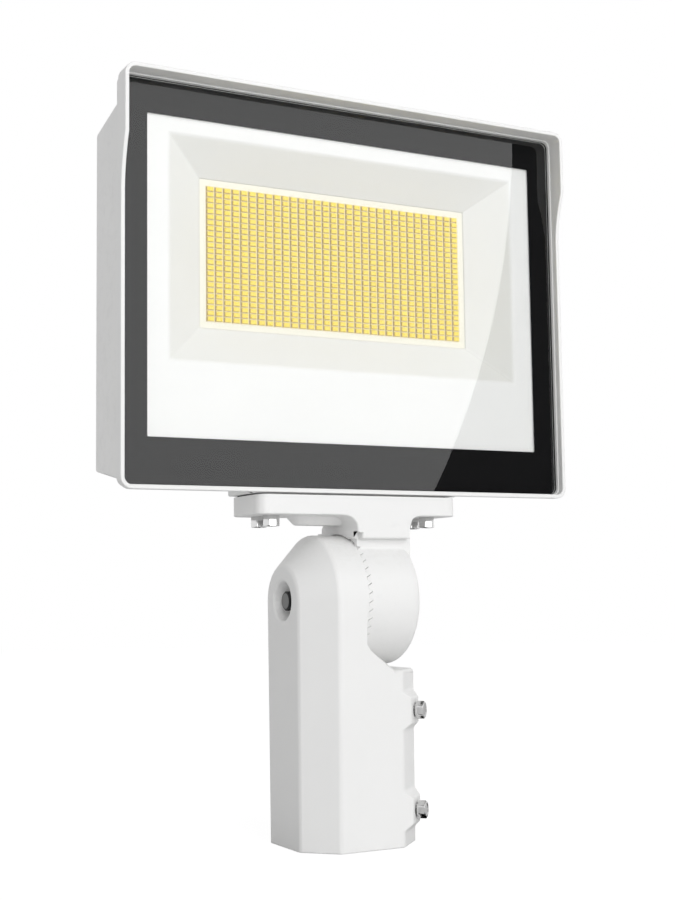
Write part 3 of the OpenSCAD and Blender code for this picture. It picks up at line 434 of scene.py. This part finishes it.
def lathe(radius, height, sides):
    """Rings of points: each profile row gives a radius and a height, and both may change with the angle."""
    turn = np.arange(sides) * 2 * np.pi / sides
    radius, height = (np.stack([np.broadcast_to(row, sides) for row in rows]) for rows in (radius, height))
    return np.stack([radius * np.cos(turn), radius * np.sin(turn), height], -1)


def closed_lathe(radius, height, sides=48):
    """A lathe's rings with one flat face at each end."""
    rings = lathe(radius, height, sides)
    rows = len(rings)
    caps = [list(range(sides))[::-1], list(range((rows - 1) * sides, rows * sides))]
    return rings.reshape(-1, 3), grid_faces(rows, sides).tolist() + caps


def hexagon_radius(flats, sides):
    """Distance from the axis to a hexagon's outline at each angle, with a vertex at angle 0. A circle at
    95.5 % of the corners' reach rounds them."""
    turn = np.arange(sides) * 2 * np.pi / sides
    straight = flats / 2 / np.cos((turn % (np.pi / 3)) - np.pi / 6)
    return np.minimum(straight, 0.955 * flats / np.sqrt(3))


def hex_head(flats, tall, dish=0.0, sides=72):
    """A hexagon head along +Z on z = 0. A 30 degree cone cuts its top: at each angle the flat ends at the
    top's height less the hexagon's reach past the round face times tan 30. The end may have a dish."""
    hexagon = hexagon_radius(flats, sides)
    face = flats / 2 * 0.95
    cut = tall - (hexagon - face) * np.tan(np.radians(30))
    rows, heights = [hexagon * 0.985, hexagon, hexagon, face], [0.0, 0.15, cut, tall]
    if dish:
        rows += [face * 0.80, face * 0.74, face * 0.30]
        heights += [tall, tall - dish, tall - dish * 1.3]
    return closed_lathe(rows, heights, sides)


def thread(major, pitch, low, high, sides=32, runout=0.8):
    """A screw thread along Z: the radius falls from the crest by a triangle wave of height less angle,
    0.54 of the pitch deep as on metric threads, and the relief fades out at both ends."""
    depth = 0.54 * pitch
    heights = np.arange(low, high + 1e-6, pitch / 8)
    turn = np.arange(sides) * 2 * np.pi / sides
    phase = (heights[:, None] / pitch - turn[None, :] / (2 * np.pi)) % 1
    relief = depth * np.abs(2 * phase - 1)
    ends = np.clip(np.minimum(heights - low, high - heights) / runout, 0, 1)[:, None]
    radius = (major - relief) * ends + (major - depth) * (1 - ends)
    return closed_lathe(radius, heights, sides)


def moved(part, origin, along, turn=0.0):
    """A part drawn along +Z, moved so that Z points along a direction and X starts at an angle round it."""
    points, faces = part
    z = np.asarray(along, float) / np.linalg.norm(along)
    x = np.cross((0, 0, 1.0), z) if abs(z[2]) < 0.9 else np.array([1.0, 0, 0])
    x /= np.linalg.norm(x)
    y = np.cross(z, x)
    a = np.radians(turn)
    x, y = np.cos(a) * x + np.sin(a) * y, np.cos(a) * y - np.sin(a) * x
    return points @ np.stack([x, y, z]) + np.asarray(origin, float), faces


def clamp_screws():
    """The two screws that grip the tenon: hexagon heads on the front right corner, with threaded shanks."""
    out = np.array([1.0, -1.0, 0.0]) / np.sqrt(2)
    crest, pitch, into_head = SHANK_R - 0.03, 1.0, 0.2
    for which, height in CLAMP_HEIGHTS.items():
        seat = out * CLAMP_HEAD_AT + (0, 0, height)
        tip = out * CLAMP_TIP + (0, 0, height)
        shank = thread(crest, pitch, 0.0, CLAMP_HEAD_AT - CLAMP_TIP + into_head)
        parts = [moved(hex_head(CLAMP_FLATS, CLAMP_TALL, 0.22), seat, out, 90), moved(shank, tip, out)]
        new_piece("clamp_screw_%s_turned" % which, "clamp_screw_" + which,
                  mesh_from("clamp_screw", *joined(parts)))


def pivot_bolt():
    """The pivot bolt: a chamfered hexagon head in the recess, a shank that is plain as far as the toothed
    rings, and a thread in the bracket."""
    place = (PIVOT_HEAD_X, 0, PIVOT_Z)
    crest, pitch, chamfer, plain_end = SHANK_R - 0.02, 1.0, 0.4, 29.0
    plain = closed_lathe([SHANK_R - chamfer, SHANK_R, SHANK_R, SHANK_R - chamfer],
                         [-chamfer / 2, chamfer / 2, plain_end, plain_end + chamfer])
    threaded = thread(crest, pitch, plain_end - chamfer / 2, PIVOT_TIP_X - PIVOT_HEAD_X)
    parts = [moved(hex_head(PIVOT_FLATS, PIVOT_TALL), place, (-1, 0, 0), 90),
             moved(plain, place, (1, 0, 0)), moved(threaded, place, (1, 0, 0))]
    new_piece("pivot_bolt_turned", "pivot_bolt", mesh_from("pivot_bolt", *joined(parts)))


def head_bolts():
    """The four bolts under the plate, heads down, as they show beside the arm."""
    head = hex_head(BOLT_FLATS, BOLT_TALL, 0.2)
    shank = thread(SHANK_R - 0.02, 1.0, -0.1, BOLT_SHANK, 24)
    parts = []
    for x in (-BOLT_X, BOLT_X):
        for y in BOLT_YS:
            parts.append(moved(head, (x, y, PLATE_LOW_Z), (0, 0, -1), 13))
            parts.append(moved(shank, (x, y, PLATE_LOW_Z), (0, 0, 1)))
    new_piece("head_bolts_turned", "head_bolts", mesh_from("head_bolts", *joined(parts)))


def outline(half, low, high, r, steps=5):
    """Points round an upright rectangle with round corners, as (x, z), anticlockwise seen from the front."""
    turn = np.linspace(0, np.pi / 2, steps + 1)
    corners = [(half - r, high - r, 0), (-half + r, high - r, 1), (-half + r, low + r, 2),
               (half - r, low + r, 3)]
    return np.concatenate([np.stack([x + r * np.cos(turn + k * np.pi / 2),
                                     z + r * np.sin(turn + k * np.pi / 2)], 1) for x, z, k in corners])


def stacked(rows):
    """Outlines set one behind the other: each row is half width, low, high, corner radius and depth y."""
    loops = []
    for half, low, high, r, y in rows:
        flat = outline(half, low, high, r)
        loops.append(np.stack([flat[:, 0], np.full(len(flat), y), flat[:, 1]], 1))
    return np.stack(loops)


def lens_pane():
    """The lens: a pane with ground edges. Each outline steps in where the edge is ground."""
    low, high = (np.array(v[:]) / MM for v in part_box("lens_glass"))
    half, front, back = high[0], low[1], high[1]
    rows = [(half - inset, low[2] + inset, high[2] - inset, LENS_CORNER - inset, y)
            for inset, y in ((0.35, front), (0.1, front + 0.12), (0, front + 0.35), (0, back - 0.35),
                             (0.1, back - 0.12), (0.35, back))]
    points = stacked(rows)
    count, around = points.shape[:2]
    faces = grid_faces(count, around).tolist()
    faces += [list(range(around))[::-1], list(range((count - 1) * around, count * around))]
    mesh = mesh_from("lens_pane", points.reshape(-1, 3), faces, 20)
    piece = new_piece("lens_pane", "lens_glass", mesh)
    face_outwards(piece.data)


def lens_border():
    """The black border: enamel fused into the glass, so it starts inside the pane, with a fine bevel
    round its window."""
    low, high = (np.array(v[:]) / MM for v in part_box("lens_border"))
    front, back = low[1] - 0.15, high[1] - 0.02
    half, sill, lintel = WINDOW
    slope, corner = 0.05, 0.8
    rows = [(high[0], low[2], high[2], LENS_CORNER, back), (high[0], low[2], high[2], LENS_CORNER, front),
            (half, sill, lintel, corner, front),
            (half - slope, sill - slope, lintel + slope, corner + slope, back)]
    points = stacked(rows)
    count, around = points.shape[:2]
    faces = grid_faces(count, around, wrap_rows=True)
    mesh = mesh_from("lens_border_enamel", points.reshape(-1, 3), faces, 20)
    piece = new_piece("lens_border_enamel", "lens_border", mesh)
    face_outwards(piece.data)


def reflector():
    """The white sheet: a flat frame with a hemmed edge, folded over a small radius into four slanted
    walls that end at the light board. Each row of points is one outline, and between mouth and floor
    its size and depth run straight."""
    half, low, high = SHEET
    front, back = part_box("reflector")[0][1] / MM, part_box("reflector")[1][1] / MM
    mouth, floor = np.array(MOUTH), np.array(FLOOR)
    hem_r, sheet_t = 2.0, 1.0
    rows = [(half - inset, low + inset, high - inset, hem_r - inset, front + behind)
            for inset, behind in ((0.2, 0.5), (0, 0.25), (0.3, 0))]
    deep = back - front
    fold = ((-0.05, 0.0), (-0.025, 0.03), (0.0, 0.25), (0.03, 0.65), (0.06, 1.06 * 0.06 * deep + 0.1))
    straight = tuple((share, share * deep) for share in (0.5, 0.97, 1.0))
    for share, y in fold + straight:
        size = mouth + (floor - mouth) * share
        rows.append((size[0], size[1], size[2], 0.8 - 0.3 * max(share, 0), front + y))
    points = stacked(rows)
    count, around = points.shape[:2]
    mesh = mesh_from("reflector_sheet", points.reshape(-1, 3), grid_faces(count, around), 25)
    piece = new_piece("reflector_sheet", "reflector", mesh)
    face_towards(piece.data, (0, -1, 0))
    wall = piece.modifiers.new("sheet_wall", "SOLIDIFY")
    wall.thickness = sheet_t * MM
    wall.offset = -1


def light_chips():
    """The light chips: copies of one block of five rings, moved to every place of the field. A point's
    share of the yellow face and its chip's tone are kept as attributes."""
    low, high = (np.array(v[:]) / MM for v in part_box("light_chips"))
    columns = np.linspace(low[0] + CHIP[0] / 2, high[0] - CHIP[0] / 2, CHIP_FIELD[0])
    rows = np.linspace(low[2] + CHIP[1] / 2, high[2] - CHIP[1] / 2, CHIP_FIELD[1])
    corners = np.array([(-0.5, -0.5), (0.5, -0.5), (0.5, 0.5), (-0.5, 0.5)])
    rings = [(0.0, high[1] - 0.01), (0.0, low[1] + 0.42), (0.12, low[1] + 0.4), (0.2, low[1] + 0.12),
             (0.42, low[1])]
    block = np.concatenate([np.stack([corners[:, 0] * (CHIP[0] - 2 * inset), np.full(4, y),
                                      corners[:, 1] * (CHIP[1] - 2 * inset)], 1) for inset, y in rings])
    last_ring = np.arange(len(block) - 4, len(block))
    faces = np.concatenate([grid_faces(len(rings), 4), [[3, 2, 1, 0]], [last_ring]])
    x, z = (a.ravel() for a in np.meshgrid(columns, rows))
    centres = np.stack([x, np.zeros(len(x)), z], 1)
    points = (centres[:, None] + block[None]).reshape(-1, 3)
    every = (np.arange(len(x))[:, None, None] * len(block) + faces[None]).reshape(-1, 4)
    mesh = mesh_from("light_chips_moulded", points, every, 20)
    ring_shares = [0.0, 0.0, 0.85, 1.0, 1.0]
    shares = np.tile(np.repeat(ring_shares, 4), len(x))
    tones = np.repeat(np.random.default_rng(7).random(len(x)), len(block))
    for name, values in (("face_share", shares), ("chip_tone", tones)):
        mesh.attributes.new(name, "FLOAT", "POINT").data.foreach_set("value", values.astype(np.float32))
    piece = new_piece("light_chips_moulded", "light_chips", mesh)
    face_outwards(piece.data)


def face_outwards(mesh):
    """Turns the faces of closed shells outwards."""
    bm = bmesh.new()
    bm.from_mesh(mesh)
    bmesh.ops.recalc_face_normals(bm, faces=bm.faces)
    bm.to_mesh(mesh)
    bm.free()


def face_towards(mesh, way):
    """Turns an open sheet over if most of its area faces away from a direction."""
    facing = sum(p.area * p.normal.dot(Vector(way)) for p in mesh.polygons)
    if facing < 0:
        mesh.flip_normals()


def softened(node, widths, smooth=30.0, segments=3):
    """A casting with rounded edges: a merged copy of the CAD mesh whose sharp edges are bevelled by widths
    in millimetres, which a function gives for the edges' middles and lengths."""
    same_place, same_plane = 0.003 * MM, 0.4
    mesh = cad[node].data.copy()
    bm = bmesh.new()
    bm.from_mesh(mesh)
    bmesh.ops.remove_doubles(bm, verts=bm.verts, dist=same_place)
    bmesh.ops.dissolve_limit(bm, angle_limit=np.radians(same_plane), verts=bm.verts, edges=bm.edges)
    bmesh.ops.dissolve_degenerate(bm, edges=bm.edges, dist=same_place)
    bm.edges.ensure_lookup_table()
    middles = np.array([((e.verts[0].co + e.verts[1].co) / 2)[:] for e in bm.edges]) / MM
    bends = np.degrees([e.calc_face_angle_signed(0.0) if len(e.link_faces) == 2 else 0.0 for e in bm.edges])
    lengths = np.array([e.calc_length() for e in bm.edges]) / MM
    wide = np.where(np.abs(bends) > smooth, widths(middles, lengths), 0.0)
    widest = float(wide.max())
    weights = bm.edges.layers.float.new("bevel_weight_edge")
    for edge, width in zip(bm.edges, wide):
        edge[weights] = width / widest
    bm.to_mesh(mesh)
    bm.free()
    mesh.attributes.remove(mesh.attributes["custom_normal"])
    mesh.shade_smooth()
    mesh.set_sharp_from_angle(angle=np.radians(smooth))
    piece = new_piece(node + "_cast", node, mesh)
    bevel = piece.modifiers.new("rounded_edges", "BEVEL")
    bevel.limit_method = "WEIGHT"
    bevel.width = widest * MM
    bevel.segments = segments
    bevel.use_clamp_overlap = False
    flats = piece.modifiers.new("even_flats", "WEIGHTED_NORMAL")
    flats.keep_sharp = True
    flats.weight = 90


def near(value, target, within):
    """Whether values lie within a distance of a target."""
    return np.abs(value - target) < within


def between(value, low, high):
    """Whether values lie between two bounds."""
    return (value > low) & (value < high)


def laid_over(plain, *zones):
    """Widths that start at one plain value; each zone in turn sets a width of its own."""
    width = np.full(len(zones[0][0]), plain)
    for zone, own in zones:
        width[zone] = own
    return width


def fitter_widths(at, lengths):
    """Rounding of the fitter: soft corners outside, crisp teeth, and plain bores."""
    x, y, z = at.T
    from_pivot = np.hypot(y, z - PIVOT_Z)
    teeth_and_slope = between(x, -3.5, 1.5) & (from_pivot > RING_IN_R - 0.3) & between(z, 60, 176)
    bore_and_wire_way = (np.hypot(x, y) < BORE_R + 0.2) & between(z, 1, 120)
    open_end = near(z, 0, 0.5)
    bowl = (x > -30) & (from_pivot < RING_IN_R)
    recess = (x < -27) & (from_pivot < 13)
    recess_floor = (x < -27) & (from_pivot < 9)
    # On the chamfer's face x less y is 56, and the clamp bosses stand out past it
    bosses = (x > 18) & (y < -18) & (z < 90) & (x - y > 57.8)
    return laid_over(1.5, (teeth_and_slope, 0.0), (bore_and_wire_way, 0.0), (open_end, 0.8), (bowl, 0.0),
                     (recess, 1.0), (recess_floor, 0.2), (bosses, 0.9))


def bracket_widths(at, lengths):
    """Rounding of the bracket: soft plate and arm, crisp teeth, and plain holes."""
    x, y, z = at.T
    from_pivot = np.hypot(y, z - PIVOT_Z)
    plate = z > PLATE_LOW_Z - 3.2
    plate_top = near(z, PLATE_TOP_Z, 0.2)
    bolt_mid = sum(BOLT_YS) / 2
    from_bolt = np.hypot(np.abs(x) - BOLT_X, np.abs(y - bolt_mid) - (BOLT_YS[1] - bolt_mid))
    holes = (from_bolt < 5) | (np.hypot(x - WIRE_ENTRY[0], y - WIRE_ENTRY[1]) < 8.5)
    teeth = (x < 1.4) & between(from_pivot, RING_IN_R - 0.3, KNUCKLE_R + 2.1)
    disc_face = near(x, DISC_FACE_X, 0.4) & between(z, 140, 178)
    skin_back = between(x, -5, 0.5) & (y > 10) & between(z, 173, 181)
    arm_by_disc = between(x, 30, 35.2) & between(z, 158, 181) & ((y < -20) | (y > 10))
    bowl = from_pivot < RING_IN_R
    wire_way = between(x, 3.5, 28) & between(y, -14.5, 8.5) & between(z, 156, 189)
    return laid_over(1.0, (plate, 0.7), (plate_top, 0.3), (holes, 0.0), (teeth, 0.0), (disc_face, 0.0),
                     (skin_back, 0.0), (arm_by_disc, 0.0), (bowl, 0.0), (wire_way, 0.0))


def housing_widths(at, lengths):
    """Rounding of the housing: fine on the rim, the visor and the fins, soft on the shell, and none where
    the edges are short or hidden."""
    x, y, z = at.T
    out_x = np.abs(x)
    rim_and_visor = y < -22
    fins = (y > 5) & (z > HEAD_Z + 66)
    back_corners = (out_x > SHELL_HALF - 6) & (y > 12) & ((z < HEAD_Z + 18) | (z > TOP_Z - 30))
    flange_top = near(y, FLANGE_BACK_Y, 0.3) & (z > TOP_Z - 4)
    inside_rim = (out_x < SHELL_HALF - 0.6) & between(z, HEAD_Z + 2.1, TOP_Z - 2.1)
    pocket = inside_rim & between(y, -20, -16.6)
    pocket_back = inside_rim & near(y, FLANGE_BACK_Y, 0.2)
    driver_bay = (out_x < 141) & between(y, -16, 17) & between(z, HEAD_Z + 14, HEAD_Z + 69)
    lamp_room = (out_x < 141) & between(y, -16, 4) & between(z, HEAD_Z + 14, TOP_Z - 24)
    small_under_pad = (z < HEAD_Z + 12) & (out_x < 60) & (np.abs(y) < 20) & (lengths < 3)
    return laid_over(1.0, (rim_and_visor, 0.45), (fins, 0.6), (back_corners, 0.0), (flange_top, 0.0),
                     (pocket, 0.0), (pocket_back, 0.4), (driver_bay, 0.0), (lamp_room, 0.0),
                     (small_under_pad, 0.0))


softened("slipfitter_body", fitter_widths)
softened("upper_bracket", bracket_widths)
softened("housing", housing_widths)
clamp_screws()
pivot_bolt()
head_bolts()
lens_pane()
lens_border()
reflector()
light_chips()


# Floor, light and camera

def studio():
    """A white surround, a pale floor that keeps a faint shadow, one large soft box, and two dark cards
    that only mirrors show."""
    world = bpy.data.worlds.new("studio")
    scene.world = world
    world.use_nodes = True
    n = Tree(world.node_tree)
    back = world.node_tree.nodes["Background"]
    back.inputs["Color"].default_value = (1, 1, 1, 1)
    path = n.add("ShaderNodeLightPath").outputs
    seen = n.maths("MAXIMUM", path["Is Camera Ray"], path["Is Transmission Ray"])
    way = n.add("ShaderNodeTexCoord").outputs["Generated"]
    height = n.add("ShaderNodeSeparateXYZ", {0: way}).outputs["Z"]
    # What mirrors see on top of the plain level: white at the horizon, and dim overhead
    plain, add_low, add_overhead = 0.54, 0.46, -0.44
    mirrored = n.maths("MULTIPLY", path["Is Glossy Ray"], n.spread(height, 0.5, 0.75, add_low, add_overhead))
    strength = n.maths("ADD", n.spread(seen, 0, 1, plain, 1.0), mirrored)
    n.tree.links.new(strength, back.inputs["Strength"])

    floor_material, n, shader = new_material("studio_floor")
    shader.inputs["Specular IOR Level"].default_value = 0.1
    speckle = n.noise(30.0, 2.0)
    join(n, shader, n.blend(speckle, (0.80, 0.80, 0.80, 1), (0.82, 0.82, 0.82, 1)),
         n.spread(speckle, 0.3, 0.7, 0.7, 0.8))
    path = n.add("ShaderNodeLightPath").outputs
    glow_strength, glow_share = 1.19, 0.75
    glow = n.add("ShaderNodeEmission", {"Strength": glow_strength}).outputs[0]
    lit = n.maths("MULTIPLY", path["Is Camera Ray"], glow_share)
    top = n.add("ShaderNodeMixShader", {0: lit, 1: shader.outputs[0], 2: glow}).outputs[0]
    under = n.add("ShaderNodeBsdfTransparent").outputs[0]
    side = n.add("ShaderNodeNewGeometry").outputs["Backfacing"]
    whole = n.add("ShaderNodeMixShader", {0: side, 1: top, 2: under})
    n.tree.links.new(whole.outputs[0], n.tree.nodes["Material Output"].inputs["Surface"])
    sides, reach, drop = 96, 3000, 0.2
    turn = np.linspace(0, 2 * np.pi, sides, endpoint=False)
    rim = np.stack([reach * np.cos(turn), reach * np.sin(turn), np.full(sides, -drop)], 1)
    floor = bpy.data.objects.new("studio_floor", mesh_from("studio_floor", rim, [range(sides)]))
    floor.data.materials.append(floor_material)
    scene.collection.objects.link(floor)

    # The soft box is a disc whose edge shows in the lens as the photograph's dark corner does. It stands
    # off the middle of the lens, roughly the way that the lens mirrors the camera's view
    glass_at = np.array([10.0, -22.6, 300.0])
    to_box = np.array([0.46062, -0.86097, 0.21578])
    to_box /= np.linalg.norm(to_box)
    right = np.cross(to_box, (0, 0, 1.0))
    right /= np.linalg.norm(right)
    up = np.cross(right, to_box)
    away, aside, above, box_r = 2000, 1224, 278, 1546
    centre = glass_at + away * to_box + aside * right + above * up
    data = bpy.data.lights.new("soft_box", "AREA")
    data.shape = "DISK"
    data.size = 2 * box_r * MM
    radiance = 1.97
    data.energy = radiance * np.pi * (np.pi * (box_r * MM) ** 2)
    lamp = bpy.data.objects.new("soft_box", data)
    lamp.visible_camera = False
    place = Matrix(np.stack([right, np.cross(to_box, right), to_box], 1).tolist()).to_4x4()
    place.translation = Vector((centre * MM).tolist())
    lamp.matrix_world = place
    scene.collection.objects.link(lamp)

    dark, n, shader = new_material("dark_card")
    join(n, shader, n.blend(n.noise(4.0), (0.0, 0.0, 0.0, 1), (0.004, 0.004, 0.004, 1)))
    shader.inputs["Specular IOR Level"].default_value = 0.0
    shader.inputs["Roughness"].default_value = 1.0
    # One dark card stands behind the soft box, and one lies on the floor, under the object and behind it
    middle, half = glass_at + (away + 100) * to_box, 900
    square = ((-half, -half), (half, -half), (half, half), (-half, half))
    upright = [middle + a * right + b * up for a, b in square]
    lying = [(x, y, -drop / 2) for x, y in ((-70, -60), (130, -60), (130, 300), (-70, 300))]
    for name, points in (("dark_card", upright), ("dark_floor_card", lying)):
        card = bpy.data.objects.new(name, mesh_from(name, points, [[0, 1, 2, 3]]))
        card.data.materials.append(dark)
        card.visible_camera = card.visible_diffuse = card.visible_transmission = card.visible_shadow = False
        scene.collection.objects.link(card)


def look_through_camera():
    """Camera at the photograph's place: yaw, pitch and roll in degrees, then the lens for a sensor
    36 mm high."""
    yaw, pitch, roll = np.radians([27.951, 5.685, -0.778])
    stands_at = (-0.39185, -0.73803, 0.14180)
    forward = np.array([np.sin(yaw) * np.cos(pitch), np.cos(yaw) * np.cos(pitch), np.sin(pitch)])
    level = np.array([np.cos(yaw), -np.sin(yaw), 0.0])
    upright = np.cross(level, forward)
    right = np.cos(roll) * level + np.sin(roll) * upright
    up = np.cross(right, forward)
    place = Matrix([list(row) for row in np.array([right, up, -forward]).T]).to_4x4()
    place.translation = stands_at
    data = bpy.data.cameras.new("photo_camera")
    data.sensor_fit = "VERTICAL"
    data.sensor_height = 36
    data.lens = 57.21
    data.clip_start = 0.01
    camera = bpy.data.objects.new("photo_camera", data)
    camera.matrix_world = place
    scene.collection.objects.link(camera)
    scene.camera = camera


studio()
look_through_camera()
scene.view_settings.view_transform = "Standard"
